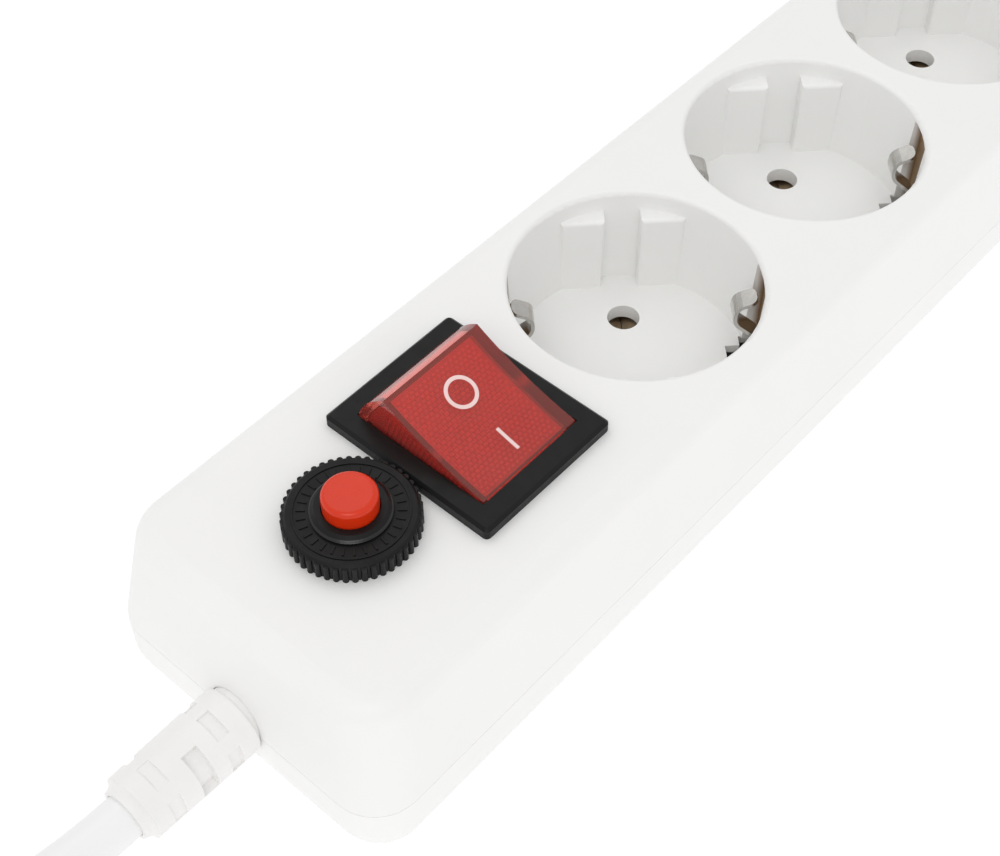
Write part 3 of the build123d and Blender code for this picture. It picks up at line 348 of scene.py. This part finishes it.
def build_marks(bm):
    lift, sink = 0.045, 0.02
    # ring
    n = 72
    loops = []
    for r, d in ((2.6, lift), (2.0, lift), (2.0, -sink), (2.6, -sink)):
        row = []
        for k in range(n):
            t = 2 * math.pi * k / n
            v = 3.93 + r * math.sin(t)
            row.append(bm.verts.new(on_rocker(0.38 + r * math.cos(t), v, lens_top(v) + d)))
        loops.append(row)
    for i in range(4):
        for k in range(n):
            bm.faces.new((loops[i][k], loops[i][(k + 1) % n], loops[(i + 1) % 4][(k + 1) % n], loops[(i + 1) % 4][k]))
    # bar
    rows = []
    for k in range(9):
        v = -7.5 + 4.2 * k / 8
        rows.append([bm.verts.new(on_rocker(0.3 + u, v, lens_top(v) + d)) for u, d in ((-0.27, lift), (0.27, lift), (0.27, -sink), (-0.27, -sink))])
    for p, q in zip(rows, rows[1:]):
        for i in range(4):
            bm.faces.new((p[i], p[(i + 1) % 4], q[(i + 1) % 4], q[i]))
    bm.faces.new(rows[0])
    bm.faces.new(rows[-1])


def build_block_texture(bm):
    pu, pv, tall = 0.9, 0.70, 0.32
    row = 0
    v = -8.7
    while v < 8.9:
        u = -7.8 + (0.4 if row % 2 else 0.0)
        while u < 7.85:
            hb = block_top(v) - 0.03
            base, top = (
                [bm.verts.new(on_rocker(u + a * w, v + b * d, h)) for a, b in ((-1, -1), (1, -1), (1, 1), (-1, 1))]
                for w, d, h in ((0.38, 0.28, hb), (0.22, 0.15, hb + tall))
            )
            bm.faces.new(base)
            bm.faces.new(top)
            for i in range(4):
                bm.faces.new((base[i], base[(i + 1) % 4], top[(i + 1) % 4], top[i]))
            u += pu
        v += pv
        row += 1
    # upright ribs on both flanks of the block
    for side in (-1, 1):
        v = -8.0
        while v < 8.1:
            corners = []
            for u in (8.2, 8.4):
                for dv in (-0.2, 0.2):
                    for h in (-1.5, 4.55):
                        corners.append(bm.verts.new(on_rocker(side * u, v + dv, h)))
            a0, a1, b0, b1, c0, c1, d0, d1 = corners
            for f in ((a0, a1, b1, b0), (c0, d0, d1, c1), (a0, c0, c1, a1), (b0, b1, d1, d0), (a1, c1, d1, b1), (a0, b0, d0, c0)):
                bm.faces.new(f)
            v += 0.8


mark_white = plastic("mark_white", (0.98, 0.86, 0.85), rough=0.4, grain=2500, grain_h=0.00001, var=0.03, spec=0.3)
rocker_piece("rocker_marks", build_marks, mark_white)
block_red = plastic("block_red", (0.995, 0.36, 0.26), rough=0.3, grain=2200, grain_h=0.00001, var=0.08, spec=0.5, blotch=900)
rocker_piece("rocker_block_texture", build_block_texture, block_red)


# ------------------------------------------------------------------ flared lips of the spring contacts, under the pin holes
def build_lips(bm):
    """Two half discs per pin hole that dip towards the slit between them."""
    n = 14
    c45 = math.sqrt(0.5)
    for x in (-61.0, -16.0, 29.0, 74.0, 119.0):
        for side in (-1, 1):
            cx, cy = x + side * 9.5 * c45, side * 9.5 * c45
            for half in (-1, 1):
                top, low = [], []
                for k in range(n + 1):
                    t = math.pi * k / n
                    px, py = 3.3 * math.cos(t), half * (0.06 + 3.2 * math.sin(t))
                    z = 16.15 + 0.22 * abs(py)
                    wx, wy = cx + px * c45 - py * c45, cy + px * c45 + py * c45
                    top.append(bm.verts.new((wx * MM, wy * MM, z * MM)))
                    low.append(bm.verts.new((wx * MM, wy * MM, (z - 0.3) * MM)))
                bm.faces.new(top)
                bm.faces.new(low[::-1])
                for k in range(n + 1):
                    j = (k + 1) % (n + 1)
                    bm.faces.new((top[k], low[k], low[j], top[j]))


def strip_piece(name, build, mat):
    bm = bmesh.new()
    build(bm)
    bmesh.ops.recalc_face_normals(bm, faces=bm.faces)
    me = bpy.data.meshes.new(name)
    bm.to_mesh(me)
    bm.free()
    o = new_object(name, me, mat)
    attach(o, "strip")
    return o


lip_brass = metal("lip_brass", (0.60, 0.53, 0.43), rough=0.45, tarnish=0.3)
strip_piece("contact_lips", build_lips, lip_brass)



def build_thread(bm):
    """The two thread crests of the bushing that stand above the ring nut."""
    n = 72
    for z0 in (41.3, 41.68):
        loops = [
            [bm.verts.new(((-122.9 + r * math.cos(2 * math.pi * k / n)) * MM, (0.1 + r * math.sin(2 * math.pi * k / n)) * MM, (z0 + dz) * MM)) for k in range(n)]
            for r, dz in ((5.5, -0.19), (5.79, 0.0), (5.5, 0.19))
        ]
        for i in range(3):
            p, q = loops[i], loops[(i + 1) % 3]
            for k in range(n):
                bm.faces.new((p[k], p[(k + 1) % n], q[(k + 1) % n], q[k]))


bushing_black = plastic("bushing_black", (0.08, 0.08, 0.08), rough=0.28, grain=5000, grain_h=0.00002, var=0.2, spec=0.5)
strip_piece("bushing_thread", build_thread, bushing_black)

# the return spring is copied into an object of its own and the CAD part is hidden
coil_me = cad_object("breaker_spring").data.copy()
coil_me.materials.clear()
coil = new_object("breaker_coil", coil_me, M["spring_steel"])
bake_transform(coil)
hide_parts("breaker_spring")

# ------------------------------------------------------------------ camera
scene = bpy.context.scene
az, el, roll = math.radians(-48.13), math.radians(50.6), math.radians(-0.36)
target = Vector((-96.82, -3.74, 38.0)) * MM
dist = 244.9 * MM
back = Vector((math.sin(az) * math.cos(el), -math.cos(az) * math.cos(el), math.sin(el)))
right = Vector((0, 0, 1)).cross(back).normalized()
up = back.cross(right)
c_, s_ = math.cos(roll), math.sin(roll)
right, up = c_ * right + s_ * up, -s_ * right + c_ * up
cam = bpy.data.cameras.new("camera")
cam.sensor_fit = "HORIZONTAL"
cam.sensor_width = 36.0
cam.lens = 36.0 * 1.707
cam.clip_start = 0.01
cam.clip_end = 20.0
cam_ob = bpy.data.objects.new("camera", cam)
scene.collection.objects.link(cam_ob)
rot = Matrix((right, up, back)).transposed().to_4x4()
cam_ob.matrix_world = Matrix.Translation(target + back * dist) @ rot
scene.camera = cam_ob

# ------------------------------------------------------------------ free cord
lay_y, hank_a, hank_b = -14.5, -226.1, -350.1
hank_in, hank_out, lay_1, lay_2 = 20.5, 27.3, 4.0, 10.9
plug_z, plug_tail = 18.4, -283.1
route = [
    (-168.1, 0.0, 18.5), (-177.1, 0.0, 18.5), (-191.1, 3.2, 17.6), (-205.1, 8.1, 16.0), (-219.1, 12.0, 13.7),
    (-234.1, 12.8, 11.6), (-248.1, 12.9, 10.9),
]
angles = [15, 45, 75, 105, 135, 165]
K = 1 / math.cos(math.radians(15))


def far_fold(r, z, n=6):
    for a in angles[:n]:
        t = math.radians(a)
        route.append((hank_b - r * K * math.sin(t), lay_y + r * K * math.cos(t), z))


def near_fold(rz):
    for a, (r, z) in zip(angles, rz):
        t = math.radians(a)
        route.append((hank_a + r * K * math.sin(t), lay_y - r * K * math.cos(t), z))


# first loop: upper outer, dropping to the lower outer place at the near fold
route.append((hank_b + 8, lay_y + hank_out, lay_2))
far_fold(hank_out, lay_2)
route += [(hank_b + 8, lay_y - hank_out, lay_2), (hank_a - 8, lay_y - hank_out, lay_2)]
near_fold([(27.3, 10.9), (27.3, 10.9), (27.3, 9.5), (27.3, 6.5), (27.3, 4.3), (27.3, 4.0)])
# second loop: lower outer, moving in
route += [(hank_a - 8, lay_y + hank_out, lay_1), (hank_b + 8, lay_y + hank_out, lay_1)]
far_fold(hank_out, lay_1)
route += [(hank_b + 8, lay_y - hank_out, lay_1), (hank_a - 8, lay_y - hank_out, lay_1)]
near_fold([(26.0, 4.0), (23.0, 4.0), (20.8, 4.0), (20.5, 4.0), (20.5, 4.0), (20.5, 4.0)])
# third loop: lower inner, climbing onto itself
route += [(hank_a - 8, lay_y + hank_in, lay_1), (hank_b + 8, lay_y + hank_in, lay_1)]
far_fold(hank_in, lay_1)
route += [(hank_b + 8, lay_y - hank_in, lay_1), (hank_a - 26, lay_y - hank_in, lay_1), (hank_a - 8, lay_y - hank_in, 6.0)]
near_fold([(20.5, 8.8), (20.5, 10.6), (20.5, 10.9), (20.5, 10.9), (20.5, 10.9), (20.5, 10.9)])
# last run: upper inner, round the far fold and in to the plug
route += [(hank_a - 8, lay_y + hank_in, lay_2), (hank_b + 8, lay_y + hank_in, lay_2)]
far_fold(hank_in, lay_2, 5)
route += [
    (-354.1, lay_y - 20.6, 11.3), (-343.1, lay_y - 21.2, 12.8), (-332.5, lay_y - 18.0, 14.8), (-322.7, lay_y - 12.2, 16.8),
    (-313.5, lay_y - 6.1, 18.0), (-303.3, lay_y - 1.5, plug_z), (-293.1, lay_y, plug_z), (plug_tail, lay_y, plug_z),
]
cu = bpy.data.curves.new("mains_cord", "CURVE")
cu.dimensions = "3D"
sp = cu.splines.new("NURBS")
sp.points.add(len(route) - 1)
for p, q in zip(sp.points, route):
    p.co = (q[0] * MM, q[1] * MM, q[2] * MM, 1.0)
sp.order_u = 3
sp.use_endpoint_u = True
sp.resolution_u = 8
cu.bevel_depth = 3.4 * MM
cu.bevel_resolution = 7
cu.use_fill_caps = True
cord = new_object("mains_cord", cu, M["white_pvc"])
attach(cord, "strip")
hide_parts("power_cord", "cord_hank", "plug_cord")

# ------------------------------------------------------------------ floor, world, lights
floor_me = bpy.data.meshes.new("floor")
bm = bmesh.new()
bmesh.ops.create_grid(bm, x_segments=1, y_segments=1, size=3.0)
bm.to_mesh(floor_me)
bm.free()
fm = Mat("floor")
fm.link(fm.ramp(fm.noise(3, 2), [(0.3, (0.15, 0.15, 0.15, 1)), (0.7, (0.16, 0.16, 0.16, 1))]), fm.b.inputs["Base Color"])
fm.set(Roughness=0.9, Specular_IOR_Level=0.1, Emission_Strength=0.9)
fm.b.inputs["Emission Color"].default_value = (1, 1, 1, 1)
floor = new_object("floor", floor_me, fm.m)
floor.location = (0, 0, -0.0002)

world = bpy.data.worlds.new("studio")
scene.world = world
world.use_nodes = True
bg = world.node_tree.nodes["Background"]
bg.inputs[0].default_value = (1, 1, 1, 1)
bg.inputs[1].default_value = 0.735
scene.view_settings.view_transform = "Standard"


def area(name, loc, aim, size, power, size_y=None):
    li = bpy.data.lights.new(name, "AREA")
    li.energy = power
    li.size = size
    if size_y:
        li.shape = "RECTANGLE"
        li.size_y = size_y
    o = bpy.data.objects.new(name, li)
    scene.collection.objects.link(o)
    o.location = loc
    d = Vector(loc) - Vector(aim)
    o.rotation_euler = d.to_track_quat("Z", "Y").to_euler()
    return o


area("key", (-0.80, -0.50, 1.15), (-0.1, 0, 0.03), 0.7, 3.2)
area("fill", (0.10, 0.55, 0.95), (-0.1, 0, 0.03), 0.7, 1.0)
